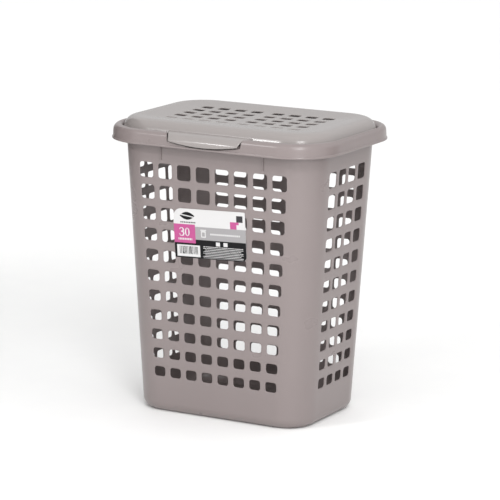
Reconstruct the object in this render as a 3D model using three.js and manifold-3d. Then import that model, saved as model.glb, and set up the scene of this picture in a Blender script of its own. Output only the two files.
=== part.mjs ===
// Laundry hamper with a hinged lid: a tapered, perforated plastic tub, a domed lid that clips on
// two moulded hinge pins at the rear, and a printed card on the front wall.
// Millimetres, +Z up, front towards -Y, origin at the centre of the underside.

import * as THREE from 'three';
import { mergeGeometries, mergeVertices } from 'three/addons/utils/BufferGeometryUtils.js';
import Module from 'manifold-3d';

// ---- driving dimensions ----

// basket: outer size of the underside, the drafts of the walls, and the moulding's thickness
const baseWidth = 294;
const baseDepth = 203;
const sideDraft = 0.0556;            // outward run of each side wall per mm of height
const frontDraft = 0.0414;           // the same for the front and rear walls
const baseCorner = 48;               // plan radius of the corners at the underside
const cornerGrowth = 0.0112;         // growth of that radius per mm of height
const baseFillet = 16;               // rounding of the underside's edge, outside
const floorFillet = 13;              // the same inside the tub
const wall = 2;
const floorThickness = 3;

// lid seat and rim: heights above the underside, then how far the parts reach past the wall
const seatHeight = 437;              // top of the ledge that the lid's edge rests on
const rimHeight = 445.5;             // crest of the rounded rim
const skirtBottom = 423.5;           // lower edge of the rim's skirt
const rimReachSide = 20.3;           // skirt past the wall, at the sides
const rimReachFront = 26.5;          // the same at the front and rear
const rimCorner = 75;
const skirtLean = 2;
const beadHeight = 3.5;              // rolled bead along the skirt's lower edge

// lid: how far its edge reaches past the wall, and the shape of its dome
const lidReachSide = 8;
const lidReachFront = 4.5;
const lidCorner = 64;
const lidThickness = 2;
const lidRise = 20;                  // crown of the shoulder above the seat
const lidDish = 4.2;                 // sink of the perforated field below that crown
const lidShoulder = 18;              // plan width of the rounded shoulder
const lidClearance = 0.8;            // gap between the lid's edge and the rim around it
const seatGap = 0.3;                 // gap under the closed lid's edge

// thumb tab at the front of the lid, and the dip in the rim that it lies in
const tabRootHalf = 71;              // half width of the tab where it leaves the dome
const tabLipHalf = 58;               // the same at its lip
const tabReach = 4.5;                // overhang past the skirt's edge, at the middle
const tabDrawIn = 1.5;               // how much less it overhangs at its ends
const tabDrop = 8.3;                 // lip's lower edge below the seat, at the middle
const tabBelly = 5.3;                // how much higher that edge is at the ends
const tabDip = 2.2;                  // floor of the dip below the seat
const tabSideGap = 1.3;
const tabSteps = 12;
const lipGap = 2.4;                  // the skirt is cut back this far below the lip's edge
const skirtCut = 5;                  // depth of that cut, behind the skirt's face

// grid of openings in the walls
const rows = 11;
const bottomRowHeight = 65;          // centre of the lowest row above the underside
const bottomRowPitch = 29.3;
const topRowPitch = 33.9;
const frontColumns = 8;
const frontMargin = 53.7;            // wall's side to the centre of the last column
const sideColumns = 4;
const sideMarginBottom = 62.8;
const sideMarginTop = 70.5;
const frontBar = 9.1;                // plastic left between two columns
const sideBar = 7.5;
const bottomOpening = 15.5;          // height of an opening in the lowest row
const topOpening = 23.5;             // and in the top row
const openingCorner = 4;

// stiffening ribs under the rim
const ribThickness = 1.8;
const ribProud = 2;
const ribLength = 40;                // from the seat down the wall
const ribPlace = 88;                 // from the middle of the front and rear walls

// grids of drain holes in the floor and of vents in the lid
const drainColumns = 6;
const drainRows = 4;
const drainPitch = 34;
const drainSize = 18;
const ventRows = 5;
const ventColumns = 8;
const ventPitchX = 29.1;
const ventPitchY = 28;
const ventBridge = 8.3;              // extra plastic between the two middle columns
const ventWidth = 19;
const ventDepth = 11;
const frontVentDepth = 6;            // the row nearest the tab is narrower
const ventCorner = 2.5;

// snap hinge: two pins moulded across notches in the rear of the rim
const hingePlace = 95;               // centre of each hinge from the middle
const pinRadius = 2.5;
const pinInset = 6.5;                // pin's axis inside the skirt's outline
const pinDrop = 5.5;                 // pin's axis below the rim's crest
const hookWall = 2.4;
const hookClearance = 0.4;
const hookWidth = 26;
const armThickness = 3;
const armLift = 1.2;                 // underside of the hook's arm above the lid's edge
const armBury = 1.5;                 // how far the arm runs in under the dome's skin
const notchSideGap = 1;
const cheekThickness = 4;

// printed card on the front wall
const cardWidth = 124;
const cardHeight = 76;
const cardThickness = 0.6;
const cardGap = 0.3;
const cardLeft = 4.5;                // its centre, left of the middle
const cardMiddle = 291;              // height of its centre
const cardTurn = 2.4;                // degrees
const cardCorner = 14;               // the rounded top left corner
const cardSnip = 9;                  // the rounded bottom right corner

const cornerSteps = 5;
const overlap = 1;                   // joined shapes run this far into each other

// ---- closed meshes and booleans ----

const manifold = await Module();
manifold.setup();

function toSolid(geometry) {
  const bare = geometry.index ? geometry.toNonIndexed() : geometry.clone();
  for (const name of Object.keys(bare.attributes)) {
    if (name !== 'position') bare.deleteAttribute(name);
  }
  const merged = mergeVertices(bare, 1e-4);
  return new manifold.Manifold(new manifold.Mesh({
    numProp: 3,
    vertProperties: new Float32Array(merged.attributes.position.array),
    triVerts: new Uint32Array(merged.index.array),
  }));
}

function toMesh(name, solid, material) {
  const out = solid.getMesh();
  const geometry = new THREE.BufferGeometry();
  geometry.setAttribute('position', new THREE.BufferAttribute(new Float32Array(out.vertProperties), 3));
  geometry.setIndex(new THREE.BufferAttribute(new Uint32Array(out.triVerts), 1));
  geometry.computeVertexNormals();
  const mesh = new THREE.Mesh(geometry, material);
  mesh.name = name;
  return mesh;
}

// Triangles of a flat face inside a ring of points, wound the way the ring runs.
function faceOf(points, flatten) {
  const contour = points.map(flatten);
  const turn = Math.sign(THREE.ShapeUtils.area(contour));
  return THREE.ShapeUtils.triangulateShape(contour, []).map(([a, b, c]) => (
    Math.sign(THREE.ShapeUtils.area([contour[a], contour[b], contour[c]])) === turn ? [a, b, c] : [a, c, b]));
}

// Joins rings of points, all with the same number of points, into a closed skin. A flat face
// closes the first ring and the last one; flatten gives its points in two dimensions.
function skin(rings, flatten = (p) => new THREE.Vector2(p.x, p.y)) {
  const count = rings[0].length;
  const points = rings.flat();
  const faces = [];
  for (let r = 0; r + 1 < rings.length; r += 1) {
    for (let i = 0; i < count; i += 1) {
      const j = (i + 1) % count;
      const [a, b, c, d] = [r * count + i, r * count + j, (r + 1) * count + j, (r + 1) * count + i];
      faces.push(a, b, c, a, c, d);
    }
  }
  const last = (rings.length - 1) * count;
  for (const [a, b, c] of faceOf(rings[0], flatten)) faces.push(a, c, b);
  for (const face of faceOf(rings.at(-1), flatten)) faces.push(...face.map((i) => last + i));
  const geometry = new THREE.BufferGeometry();
  const flat = points.flatMap((p) => [p.x, p.y, p.z]);
  geometry.setAttribute('position', new THREE.BufferAttribute(new Float32Array(flat), 3));
  geometry.setIndex(faces);
  return geometry;
}

// An outline in the XY plane: a rectangle with rounded corners, as half sizes and a radius.
function ring({ x, y, r }, z) {
  const points = [];
  for (let corner = 0; corner < 4; corner += 1) {
    const sx = corner === 0 || corner === 3 ? 1 : -1;
    const sy = corner < 2 ? 1 : -1;
    for (let step = 0; step <= cornerSteps; step += 1) {
      const angle = (corner + step / cornerSteps) * Math.PI / 2;
      points.push(new THREE.Vector3(
        sx * (x - r) + r * Math.cos(angle), sy * (y - r) + r * Math.sin(angle), z));
    }
  }
  return points;
}

function inset(outline, by) {
  return { x: outline.x - by, y: outline.y - by, r: Math.max(outline.r - by, 1) };
}

function between(a, b, t) {
  const mix = THREE.MathUtils.lerp;
  return { x: mix(a.x, b.x, t), y: mix(a.y, b.y, t), r: mix(a.r, b.r, t) };
}

function roundedShape(width, height, corner) {
  const [x, y, c] = [width / 2, height / 2, corner];
  const shape = new THREE.Shape();
  shape.moveTo(-x + c, -y).lineTo(x - c, -y).lineTo(x, -y + c).lineTo(x, y - c);
  shape.lineTo(x - c, y).lineTo(-x + c, y).lineTo(-x, y - c).lineTo(-x, -y + c);
  return shape;
}

function prism(shape, length) {
  const geometry = new THREE.ExtrudeGeometry(shape, { depth: length, bevelEnabled: false });
  return geometry.translate(0, 0, -length / 2);
}

function block(x0, x1, y0, y1, z0, z1) {
  const geometry = new THREE.BoxGeometry(x1 - x0, y1 - y0, z1 - z0);
  return toSolid(geometry.translate((x0 + x1) / 2, (y0 + y1) / 2, (z0 + z1) / 2));
}

// A plate of a (y, z) outline, centred on x.
function plateAcrossX(profile, x, thickness) {
  const geometry = prism(new THREE.Shape(profile.map(([y, z]) => new THREE.Vector2(y, z))), thickness);
  // shape x -> world y, shape y -> world z, extrusion -> world x
  geometry.applyMatrix4(new THREE.Matrix4().set(0, 0, 1, x, 1, 0, 0, 0, 0, 1, 0, 0, 0, 0, 0, 1));
  return toSolid(geometry);
}

function turned(solid, degrees) {
  return solid.rotate([0, 0, degrees]);
}

// ---- outlines that the pieces share ----

function wallOutline(z) {
  return {
    x: baseWidth / 2 + sideDraft * z,
    y: baseDepth / 2 + frontDraft * z,
    r: baseCorner + cornerGrowth * z,
  };
}

const wallTop = wallOutline(skirtBottom);
const rimOutline = { x: wallTop.x + rimReachSide, y: wallTop.y + rimReachFront, r: rimCorner };
const lidOutline = { x: wallTop.x + lidReachSide, y: wallTop.y + lidReachFront, r: lidCorner };
const seatOutline = inset(lidOutline, -lidClearance);
const skirtOutline = inset(rimOutline, skirtLean);
const crestOutline = between(seatOutline, skirtOutline, 0.5);

const pinY = rimOutline.y - pinInset;
const pinZ = rimHeight - pinDrop;

// ---- basket ----

function fillet(outline, radius, z, from, to, steps) {
  const rings = [];
  for (let i = 0; i <= steps; i += 1) {
    const angle = THREE.MathUtils.lerp(from, to, i / steps) * Math.PI / 180;
    rings.push(ring(inset(outline, radius - radius * Math.cos(angle)), z + radius * Math.sin(angle)));
  }
  return rings;
}

// The section of the tub, from the underside, up the outside, over the rim and down the inside.
function tubBody() {
  const ledgeBottom = seatHeight - wall;
  const seatBack = inset(seatOutline, -wall);
  const channelTop = rimHeight - wall;
  const innerSkirt = inset(skirtOutline, wall);
  const insideTop = inset(wallOutline(seatHeight), wall);
  const insideBottom = inset(wallOutline(floorThickness + floorFillet), wall);
  return toSolid(skin([
    ...fillet(wallOutline(baseFillet), baseFillet, baseFillet, -90, 0, 3),
    ring(wallOutline(ledgeBottom), ledgeBottom),
    ring(seatBack, ledgeBottom),
    ring(seatBack, channelTop - 3),
    ring(between(seatBack, innerSkirt, 0.35), channelTop),
    ring(between(seatBack, innerSkirt, 0.7), channelTop - 0.6),
    ring(innerSkirt, channelTop - 5),
    ring(inset(rimOutline, wall + 0.4), skirtBottom + 1.5),
    ring(inset(rimOutline, wall - 0.4), skirtBottom),
    ring(inset(rimOutline, 0.8), skirtBottom),
    ring(rimOutline, skirtBottom + 1),
    ring(rimOutline, skirtBottom + beadHeight - 1),
    ring(inset(rimOutline, 1.1), skirtBottom + beadHeight),
    ring(skirtOutline, rimHeight - 7.5),
    ring(inset(skirtOutline, 1), rimHeight - 4.2),
    ring(inset(skirtOutline, 3.2), rimHeight - 1.6),
    ring(between(crestOutline, inset(skirtOutline, 3.2), 0.5), rimHeight - 0.4),
    ring(crestOutline, rimHeight),
    ring(between(seatOutline, crestOutline, 0.45), rimHeight - 1.2),
    ring(inset(seatOutline, -1), rimHeight - 3.6),
    ring(seatOutline, seatHeight + 1.5),
    ring(seatOutline, seatHeight),
    ring(insideTop, seatHeight),
    ...fillet(insideBottom, floorFillet, floorThickness + floorFillet, 0, -90, 3),
  ]));
}

function rowPitch(gap) {
  return THREE.MathUtils.lerp(bottomRowPitch, topRowPitch, gap / (rows - 2));
}

function rowHeights() {
  const heights = [bottomRowHeight];
  for (let gap = 0; gap + 1 < rows; gap += 1) heights.push(heights[gap] + rowPitch(gap));
  return heights;
}

// All the openings that run through one pair of opposite walls, as prisms along Y.
function openings(columns, bar, halfSpan, length) {
  const heights = rowHeights();
  const prisms = [];
  heights.forEach((z, row) => {
    const climb = row / (rows - 1);
    const pitch = 2 * halfSpan(z, climb) / (columns - 1);
    const height = THREE.MathUtils.lerp(bottomOpening, topOpening, climb ** 2);
    for (let column = 0; column < columns; column += 1) {
      const geometry = prism(roundedShape(pitch - bar, height, openingCorner), length);
      geometry.rotateX(Math.PI / 2);
      prisms.push(geometry.translate((column - (columns - 1) / 2) * pitch, 0, z));
    }
  });
  return toSolid(mergeGeometries(prisms));
}

function floorDrains() {
  const prisms = [];
  for (let i = 0; i < drainColumns; i += 1) {
    for (let j = 0; j < drainRows; j += 1) {
      const geometry = new THREE.BoxGeometry(drainSize, drainSize, 4 * floorThickness);
      const x = (i - (drainColumns - 1) / 2) * drainPitch;
      const y = (j - (drainRows - 1) / 2) * drainPitch;
      prisms.push(geometry.translate(x, y, 0));
    }
  }
  return toSolid(mergeGeometries(prisms));
}

// A low rib on the outside of a wall, as a plate square to the wall that faces +Y.
function rib(halfAt, place) {
  const low = seatHeight - ribLength;
  const top = seatHeight - wall / 2;
  return plateAcrossX([
    [halfAt(low) - overlap, low],
    [halfAt(low + ribProud) + ribProud, low + ribProud],
    [halfAt(top) + ribProud, top],
    [halfAt(top) - overlap, top],
  ], place, ribThickness);
}

function withRibs(tub) {
  let solid = tub;
  for (const side of [-1, 1]) {
    const rear = rib((z) => wallOutline(z).y, side * ribPlace);
    solid = solid.add(rear).add(turned(rear, 180));
  }
  return solid;
}

// Half width of the thumb tab at a distance in front of the middle: it narrows towards its lip.
function tabHalfAt(front) {
  const run = (front - lidOutline.y) / (rimOutline.y + tabReach - lidOutline.y);
  return THREE.MathUtils.lerp(tabRootHalf, tabLipHalf, run);
}

// A block around the tab's place, wider than the tab by a margin on both sides, narrowing with it.
function aroundTab(margin, back, front, z0, z1) {
  const [wide, narrow] = [tabHalfAt(back) + margin, tabHalfAt(front) + margin];
  const plan = [[-wide, -back], [-narrow, -front], [narrow, -front], [wide, -back]];
  const shape = new THREE.Shape(plan.map(([x, y]) => new THREE.Vector2(x, y)));
  return toSolid(prism(shape, z1 - z0).translate(0, 0, (z0 + z1) / 2));
}

// Height of the lip's lower edge over the seat, at a place from -1 to 1 along the tab.
function lipEdge(along) {
  return -tabDrop + tabBelly * along ** 2;
}

// The arc that is cut out of the skirt, in step with the lip above it, so that a finger gets behind.
function lipCut() {
  const half = tabHalfAt(rimOutline.y) + tabSideGap;
  const points = [];
  for (let step = 0; step <= tabSteps; step += 1) {
    const along = 2 * step / tabSteps - 1;
    points.push(new THREE.Vector2(along * half, seatHeight + lipEdge(along) - lipGap));
  }
  points.push(new THREE.Vector2(half, rimHeight), new THREE.Vector2(-half, rimHeight));
  const geometry = prism(new THREE.Shape(points), 2 * skirtCut).rotateX(Math.PI / 2);
  return toSolid(geometry.translate(0, -rimOutline.y, 0));
}

// The dip in the front of the rim: the rim is cut down, and a floor and two cheeks close the cut.
function withTabDip(tub) {
  const floor = seatHeight - tabDip;
  const margin = tabSideGap + wall;
  const [back, front] = [seatOutline.y, skirtOutline.y - overlap];
  const cheeks = aroundTab(margin, back + overlap, front, floor - wall, rimHeight - wall);
  const cut = aroundTab(tabSideGap, back, rimOutline.y + overlap, floor, rimHeight + overlap);
  const plate = aroundTab(margin, wallOutline(floor).y - overlap, front, floor - wall, floor);
  return tub.add(cheeks).subtract(cut).add(plate).subtract(lipCut());
}

// A notch for each hinge hook, with a cheek on both sides of it and a pin across.
function withHingeNotches(tub) {
  const notchHalf = hookWidth / 2 + notchSideGap;
  const reach = pinRadius + hookClearance + hookWall + notchSideGap;
  let solid = tub;
  for (const place of [-hingePlace, hingePlace]) {
    const across = (half, y0, y1, z0, z1) => block(place - half, place + half, y0, y1, z0, z1);
    const cheeks = across(
      notchHalf + cheekThickness, seatOutline.y + overlap, skirtOutline.y - overlap,
      seatHeight - wall, rimHeight - wall);
    const shallow = across(
      notchHalf, seatOutline.y - overlap / 2, rimOutline.y + overlap, seatHeight + overlap / 2,
      rimHeight + overlap);
    const deep = across(notchHalf, pinY - reach, rimOutline.y + overlap, pinZ - reach, rimHeight + overlap);
    const pin = new THREE.CylinderGeometry(pinRadius, pinRadius, 2 * (notchHalf + overlap), 16);
    pin.rotateZ(Math.PI / 2).translate(place, pinY, pinZ);
    solid = solid.add(cheeks).subtract(shallow).subtract(deep).add(toSolid(pin));
  }
  return solid;
}

function makeBasket() {
  const through = 2 * rimOutline.x;
  const front = openings(frontColumns, frontBar, (z) => wallOutline(z).x - frontMargin, through);
  const side = openings(sideColumns, sideBar, (z, climb) => wallOutline(z).y
    - THREE.MathUtils.lerp(sideMarginBottom, sideMarginTop, climb), through);
  const tub = withHingeNotches(withTabDip(withRibs(tubBody())));
  return tub.subtract(front).subtract(turned(side, 90)).subtract(floorDrains());
}

// ---- lid ----

const lidBottom = seatHeight + seatGap;
const crownHeight = seatHeight + lidRise;

// The dome from its edge to its middle: plan inset, and height.
const domeSteps = [
  [0, lidBottom],
  [0, lidBottom + 3.5],
  [0.6, lidBottom + 5.2],
  [3, crownHeight - 9],
  [7, crownHeight - 4.2],
  [12, crownHeight - 1.2],
  [lidShoulder, crownHeight],
  [lidShoulder + 14, crownHeight - 0.15 * lidDish],
  [lidShoulder + 34, crownHeight - 0.6 * lidDish],
  [lidShoulder + 60, crownHeight - 0.95 * lidDish],
];

function dome() {
  const outer = domeSteps.map(([by, z]) => ring(inset(lidOutline, by), z));
  const inner = domeSteps.slice(2).map(([by, z]) => {
    const draw = by < lidShoulder ? lidThickness : 0;
    return ring(inset(lidOutline, by + draw), z - lidThickness);
  });
  const edge = ring(inset(lidOutline, lidThickness), lidBottom);
  return toSolid(skin([...inner.reverse(), edge, ...outer]));
}

function vents() {
  const prisms = [];
  for (let column = 0; column < ventColumns; column += 1) {
    const across = column - (ventColumns - 1) / 2;
    const x = across * ventPitchX + Math.sign(across) * ventBridge / 2;
    for (let row = 0; row < ventRows; row += 1) {
      const depth = row === 0 ? frontVentDepth : ventDepth;
      const geometry = prism(roundedShape(ventWidth, depth, ventCorner), 4 * lidRise);
      prisms.push(geometry.translate(x, (row - (ventRows - 1) / 2) * ventPitchY, crownHeight));
    }
  }
  return toSolid(mergeGeometries(prisms));
}

// The thumb tab: a bent strip that leaves the dome above its edge, lies in the dip of the rim and
// hangs over the skirt. Each step gives a point's distance behind the lip, its height over the
// seat, and how far the inside of the strip is from it.
const tabSection = [
  [rimOutline.y + tabReach - lidOutline.y + 1.2, 8.6, 0.4, -lidThickness],
  [rimOutline.y + tabReach - lidOutline.y - 2, 8.6, 0.4, -lidThickness],
  [15, 8.1, 0.5, -lidThickness],
  [6.5, 5.4, 1.1, -1.7],
  [1.9, 1, 1.7, -1.1],
];

function tab() {
  const rings = [];
  for (let step = 0; step <= tabSteps; step += 1) {
    const along = 2 * step / tabSteps - 1;
    const lip = -(rimOutline.y + tabReach - tabDrawIn * along ** 2);
    const edge = lipEdge(along);
    const turn = tabSection.at(-1)[1];
    const section = [...tabSection, [0.2, (turn + edge) / 2, lidThickness, -0.3], [0, edge, lidThickness, 0]];
    const point = (y, z) => new THREE.Vector3(along * tabHalfAt(-y), y, seatHeight + z);
    const outside = section.map(([back, z]) => point(lip + back, z));
    const inside = section.map(([back, z, dy, dz]) => point(lip + back + dy, z + dz));
    rings.push([...outside, ...inside.reverse()]);
  }
  return toSolid(skin(rings, (p) => new THREE.Vector2(p.y, p.z)));
}

// A hook that snaps on the pin from above, open at the bottom, and the arm that carries it.
function hook(place) {
  const bore = pinRadius + hookClearance;
  const steps = 12;
  const [from, to] = [-15, 255];     // degrees, from +Y towards +Z
  const arc = (radius) => Array.from({ length: steps + 1 }, (_, i) => {
    const angle = THREE.MathUtils.degToRad(THREE.MathUtils.lerp(from, to, i / steps));
    return [pinY + radius * Math.cos(angle), pinZ + radius * Math.sin(angle)];
  });
  const claw = plateAcrossX([...arc(bore + hookWall), ...arc(bore).reverse()], place, hookWidth);
  const [half, armBottom] = [hookWidth / 2, lidBottom + armLift];
  const arm = block(
    place - half, place + half, lidOutline.y - armBury, pinY - bore - overlap,
    armBottom, armBottom + armThickness);
  return claw.add(arm);
}

function makeLid() {
  return dome().subtract(vents()).add(tab()).add(hook(-hingePlace)).add(hook(hingePlace));
}

// ---- printed card ----

function makeCard() {
  const [x, y, small] = [cardWidth / 2, cardHeight / 2, 1.5];
  const shape = new THREE.Shape();
  shape.absarc(-x + small, -y + small, small, Math.PI, 1.5 * Math.PI);
  shape.absarc(x - cardSnip, -y + cardSnip, cardSnip, 1.5 * Math.PI, 2 * Math.PI);
  shape.absarc(x - small, y - small, small, 0, 0.5 * Math.PI);
  shape.absarc(-x + cardCorner, y - cardCorner, cardCorner, 0.5 * Math.PI, Math.PI);
  const geometry = new THREE.ExtrudeGeometry(
    shape, { depth: cardThickness, bevelEnabled: false, curveSegments: 6 });
  geometry.rotateZ(THREE.MathUtils.degToRad(cardTurn));
  geometry.rotateX(Math.PI / 2 + Math.atan(frontDraft));
  return toSolid(geometry.translate(-cardLeft, -wallOutline(cardMiddle).y - cardGap, cardMiddle));
}

// ---- assembly ----

const basketPlastic = new THREE.MeshStandardMaterial({ color: '#a39a97', roughness: 0.5, metalness: 0 });
const lidPlastic = new THREE.MeshStandardMaterial({ color: '#b2aeaa', roughness: 0.45, metalness: 0 });
const coatedCard = new THREE.MeshStandardMaterial({ color: '#e8e8e6', roughness: 0.35, metalness: 0 });

const hamper = new THREE.Group();
hamper.add(toMesh('basket', makeBasket(), basketPlastic));
hamper.add(toMesh('lid', makeLid(), lidPlastic));
hamper.add(toMesh('label_card', makeCard(), coatedCard));

export default hamper;
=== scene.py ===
"""Laundry hamper with a hinged lid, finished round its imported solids. Metres, +Z up, front towards -Y."""
import math

import bmesh
import bpy
import numpy as np
from mathutils import Matrix, Vector
from mathutils.geometry import delaunay_2d_cdt


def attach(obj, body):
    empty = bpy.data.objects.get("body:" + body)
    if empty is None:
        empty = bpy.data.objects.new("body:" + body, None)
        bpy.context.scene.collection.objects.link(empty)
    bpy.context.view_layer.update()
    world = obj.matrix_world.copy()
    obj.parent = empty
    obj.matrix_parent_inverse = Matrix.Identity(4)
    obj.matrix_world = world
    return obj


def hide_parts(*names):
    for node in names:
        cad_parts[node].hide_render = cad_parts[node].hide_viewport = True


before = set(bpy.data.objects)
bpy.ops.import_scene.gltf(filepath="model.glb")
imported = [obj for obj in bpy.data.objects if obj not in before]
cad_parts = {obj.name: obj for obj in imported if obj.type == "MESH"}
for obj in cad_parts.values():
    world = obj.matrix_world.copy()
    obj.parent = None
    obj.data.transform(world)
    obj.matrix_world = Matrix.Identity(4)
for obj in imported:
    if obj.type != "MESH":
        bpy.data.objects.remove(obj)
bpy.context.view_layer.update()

# ---- camera ----
# A long lens a little above the rim, turned to the front right corner, so that the front, the right
# side and the top of the lid all show.
AIM = Vector((0.0021, 0.0, 0.2478))
AZIMUTH = math.radians(28.76)
ELEVATION = math.radians(11.93)
ROLL = math.radians(0.58)
DISTANCE = 4.359
FOCAL_LENGTH = 203.6
back = Vector((math.sin(AZIMUTH) * math.cos(ELEVATION), -math.cos(AZIMUTH) * math.cos(ELEVATION),
               math.sin(ELEVATION)))
lens = bpy.data.cameras.new("camera")
lens.lens = FOCAL_LENGTH
lens.sensor_width = 36
lens.clip_end = 100
camera = bpy.data.objects.new("camera", lens)
bpy.context.collection.objects.link(camera)
turn = (-back).to_track_quat("-Z", "Y").to_matrix() @ Matrix.Rotation(ROLL, 3, "Z")
camera.matrix_world = Matrix.Translation(AIM + back * DISTANCE) @ turn.to_4x4()
bpy.context.scene.camera = camera


# ---- studio: floor, surround and lights ----
# A white paper sweep under a white surround. Two soft boxes stand front right, one high up and one at the
# camera's height, three small lamps front left put points of light on the glossy edges, and black felt
# flags keep the sides from going pale.
def linear(hex_colour):
    """An sRGB hex colour as linear RGBA."""
    parts = [int(hex_colour[i:i + 2], 16) / 255 for i in (1, 3, 5)]
    return tuple(c / 12.92 if c <= 0.04045 else ((c + 0.055) / 1.055) ** 2.4 for c in parts) + (1.0,)


def add_node(tree, kind, inputs=None, **settings):
    """Adds a node. inputs gives each socket's value, or the output socket to link to it."""
    node = tree.nodes.new(kind)
    for name, value in settings.items():
        setattr(node, name, value)
    for name, value in (inputs or {}).items():
        if isinstance(value, bpy.types.NodeSocket):
            tree.links.new(value, node.inputs[name])
        else:
            node.inputs[name].default_value = value
    return node


def new_material(name):
    """An empty node material, its tree, and its output node."""
    material = bpy.data.materials.new(name)
    material.use_nodes = True
    material.node_tree.nodes.clear()
    return material, material.node_tree, material.node_tree.nodes.new("ShaderNodeOutputMaterial")


def sweep_paper():
    """Matt white background paper, with the faint mottle of its pulp, 60 mm across."""
    material, tree, output = new_material("sweep_paper")
    place = add_node(tree, "ShaderNodeNewGeometry").outputs["Position"]
    mottle = add_node(tree, "ShaderNodeTexNoise", {"Vector": place, "Scale": 1 / 0.06, "Detail": 3.0})
    tint = add_node(tree, "ShaderNodeMix", {
        "Factor": mottle.outputs["Fac"], "A": linear("#f7f7f7"), "B": linear("#fbfbfa")}, data_type="RGBA")
    paper = add_node(tree, "ShaderNodeBsdfPrincipled", {
        "Base Color": tint.outputs["Result"], "Roughness": 0.9})
    tree.links.new(paper.outputs["BSDF"], output.inputs["Surface"])
    return material


def soft_box(name, place, size, power):
    """A rectangular lamp turned to the middle of the hamper."""
    light = bpy.data.lights.new(name, "AREA")
    light.shape = "RECTANGLE"
    light.size, light.size_y = size
    light.energy = power
    lamp = bpy.data.objects.new(name, light)
    bpy.context.collection.objects.link(lamp)
    lamp.location = place
    lamp.rotation_euler = (AIM - Vector(place)).to_track_quat("-Z", "Y").to_euler()


FLOOR_REACH = 12.0
floor_mesh = bpy.data.meshes.new("floor")
corners = [(-FLOOR_REACH, -FLOOR_REACH, 0), (FLOOR_REACH, -FLOOR_REACH, 0),
           (FLOOR_REACH, FLOOR_REACH, 0), (-FLOOR_REACH, FLOOR_REACH, 0)]
floor_mesh.from_pydata(corners, [], [(0, 1, 2, 3)])
floor_mesh.materials.append(sweep_paper())
floor = bpy.data.objects.new("floor", floor_mesh)
bpy.context.collection.objects.link(floor)

# the surround is white, but for a grey band low down at the rear left, which keeps its glare off the lid
BAND_MIDDLE = (-0.48, 0.877, 0.0)
BAND_GREY = (0.68, 0.68, 0.68, 1.0)
world = bpy.data.worlds.new("surround")
world.use_nodes = True
sky = world.node_tree
direction = add_node(sky, "ShaderNodeTexCoord").outputs["Generated"]
behind = add_node(sky, "ShaderNodeVectorMath", {0: direction, 1: BAND_MIDDLE}, operation="DOT_PRODUCT")
behind = add_node(sky, "ShaderNodeMapRange", {
    "Value": behind.outputs["Value"], "From Min": 0.2, "From Max": 0.8})
height = add_node(sky, "ShaderNodeSeparateXYZ", {"Vector": direction})
low = add_node(sky, "ShaderNodeMapRange", {"Value": height.outputs["Z"], "From Min": 0.55, "From Max": 0.3})
band = add_node(sky, "ShaderNodeMath", {0: behind.outputs["Result"], 1: low.outputs["Result"]},
                operation="MULTIPLY")
shade = add_node(sky, "ShaderNodeMix", {
    "Factor": band.outputs["Value"], "A": (1.0, 1.0, 1.0, 1.0), "B": BAND_GREY}, data_type="RGBA")
sky.links.new(shade.outputs["Result"], sky.nodes["Background"].inputs["Color"])
sky.nodes["Background"].inputs["Strength"].default_value = 1.08
bpy.context.scene.world = world
bpy.context.scene.view_settings.view_transform = "Standard"


def felt():
    """Black felt with a nap about 2 mm long."""
    material, tree, output = new_material("felt")
    place = add_node(tree, "ShaderNodeTexCoord").outputs["Object"]
    nap = add_node(tree, "ShaderNodeTexNoise", {"Vector": place, "Scale": 1 / 0.002})
    tint = add_node(tree, "ShaderNodeMix", {
        "Factor": nap.outputs["Fac"], "A": linear("#161616"), "B": linear("#202020")}, data_type="RGBA")
    cloth = add_node(tree, "ShaderNodeBsdfPrincipled", {
        "Base Color": tint.outputs["Result"], "Roughness": 1.0})
    tree.links.new(cloth.outputs["BSDF"], output.inputs["Surface"])
    return material


def flag(name, near, far, low, high):
    """An upright felt panel between two points of the floor's plan."""
    mesh = bpy.data.meshes.new(name)
    mesh.from_pydata([(*near, low), (*far, low), (*far, high), (*near, high)], [], [(0, 1, 2, 3)])
    mesh.materials.append(FELT)
    panel = bpy.data.objects.new(name, mesh)
    bpy.context.collection.objects.link(panel)


FELT = felt()
flag("left_flag", (-0.9, -1.1), (-1.1, 0.6), 0.15, 1.4)
flag("right_flag", (1.5, 0.2), (1.2, 1.6), 0.1, 0.6)
soft_box("high_box", (1.5, -1.9, 2.3), (0.9, 0.7), 20)
soft_box("key_box", (1.7, -2.1, 1.2), (0.7, 0.6), 20)
for place in (-0.90, -0.80, -0.70):
    soft_box("lamp", (place, -1.62, 1.37), (0.035, 0.035), 2.4)


# ---- basket ----
# One injection moulding in taupe polypropylene: a tapered tub pierced in rows, a ledge for the lid, and a
# rounded rim with a skirt. The rim dips at the front for the thumb tab and is notched for two hinge pins.
MM = 0.001
BASE_WIDTH, BASE_DEPTH = 294.0, 203.0
SIDE_DRAFT, FRONT_DRAFT = 0.0556, 0.0414        # outward run per mm of height
BASE_CORNER, CORNER_GROWTH = 48.0, 0.0112
BASE_FILLET, FLOOR_FILLET = 16.0, 13.0
WALL, FLOOR_THICKNESS = 2.0, 3.0
SEAT, CREST, SKIRT_BOTTOM = 437.0, 445.5, 423.5
RIM_REACH = (20.3, 26.5)                        # past the wall, at the sides and at the front
LID_REACH = (8.0, 4.5)
RIM_CORNER, LID_CORNER = 75.0, 64.0
LID_CLEARANCE, SKIRT_LEAN = 0.8, 2.0
ROWS, BOTTOM_ROW, ROW_PITCHES = 11, 65.0, (29.3, 33.9)
FRONT_COLUMNS, FRONT_MARGIN, FRONT_BAR = 8, 53.7, 9.1
SIDE_COLUMNS, SIDE_MARGINS, SIDE_BAR = 4, (62.8, 70.5), 7.5
OPENING_HEIGHTS, OPENING_CORNER, EDGE_ROUND = (15.5, 23.5), 4.2, 0.7
CELL_FOOT, CELL_HEAD = 6, 5                     # plastic left in a cell under the lowest and over the top row
SEGMENTS = 6                                    # mesh steps along each side of an opening's cell
CORNER_STEPS = 14


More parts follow.
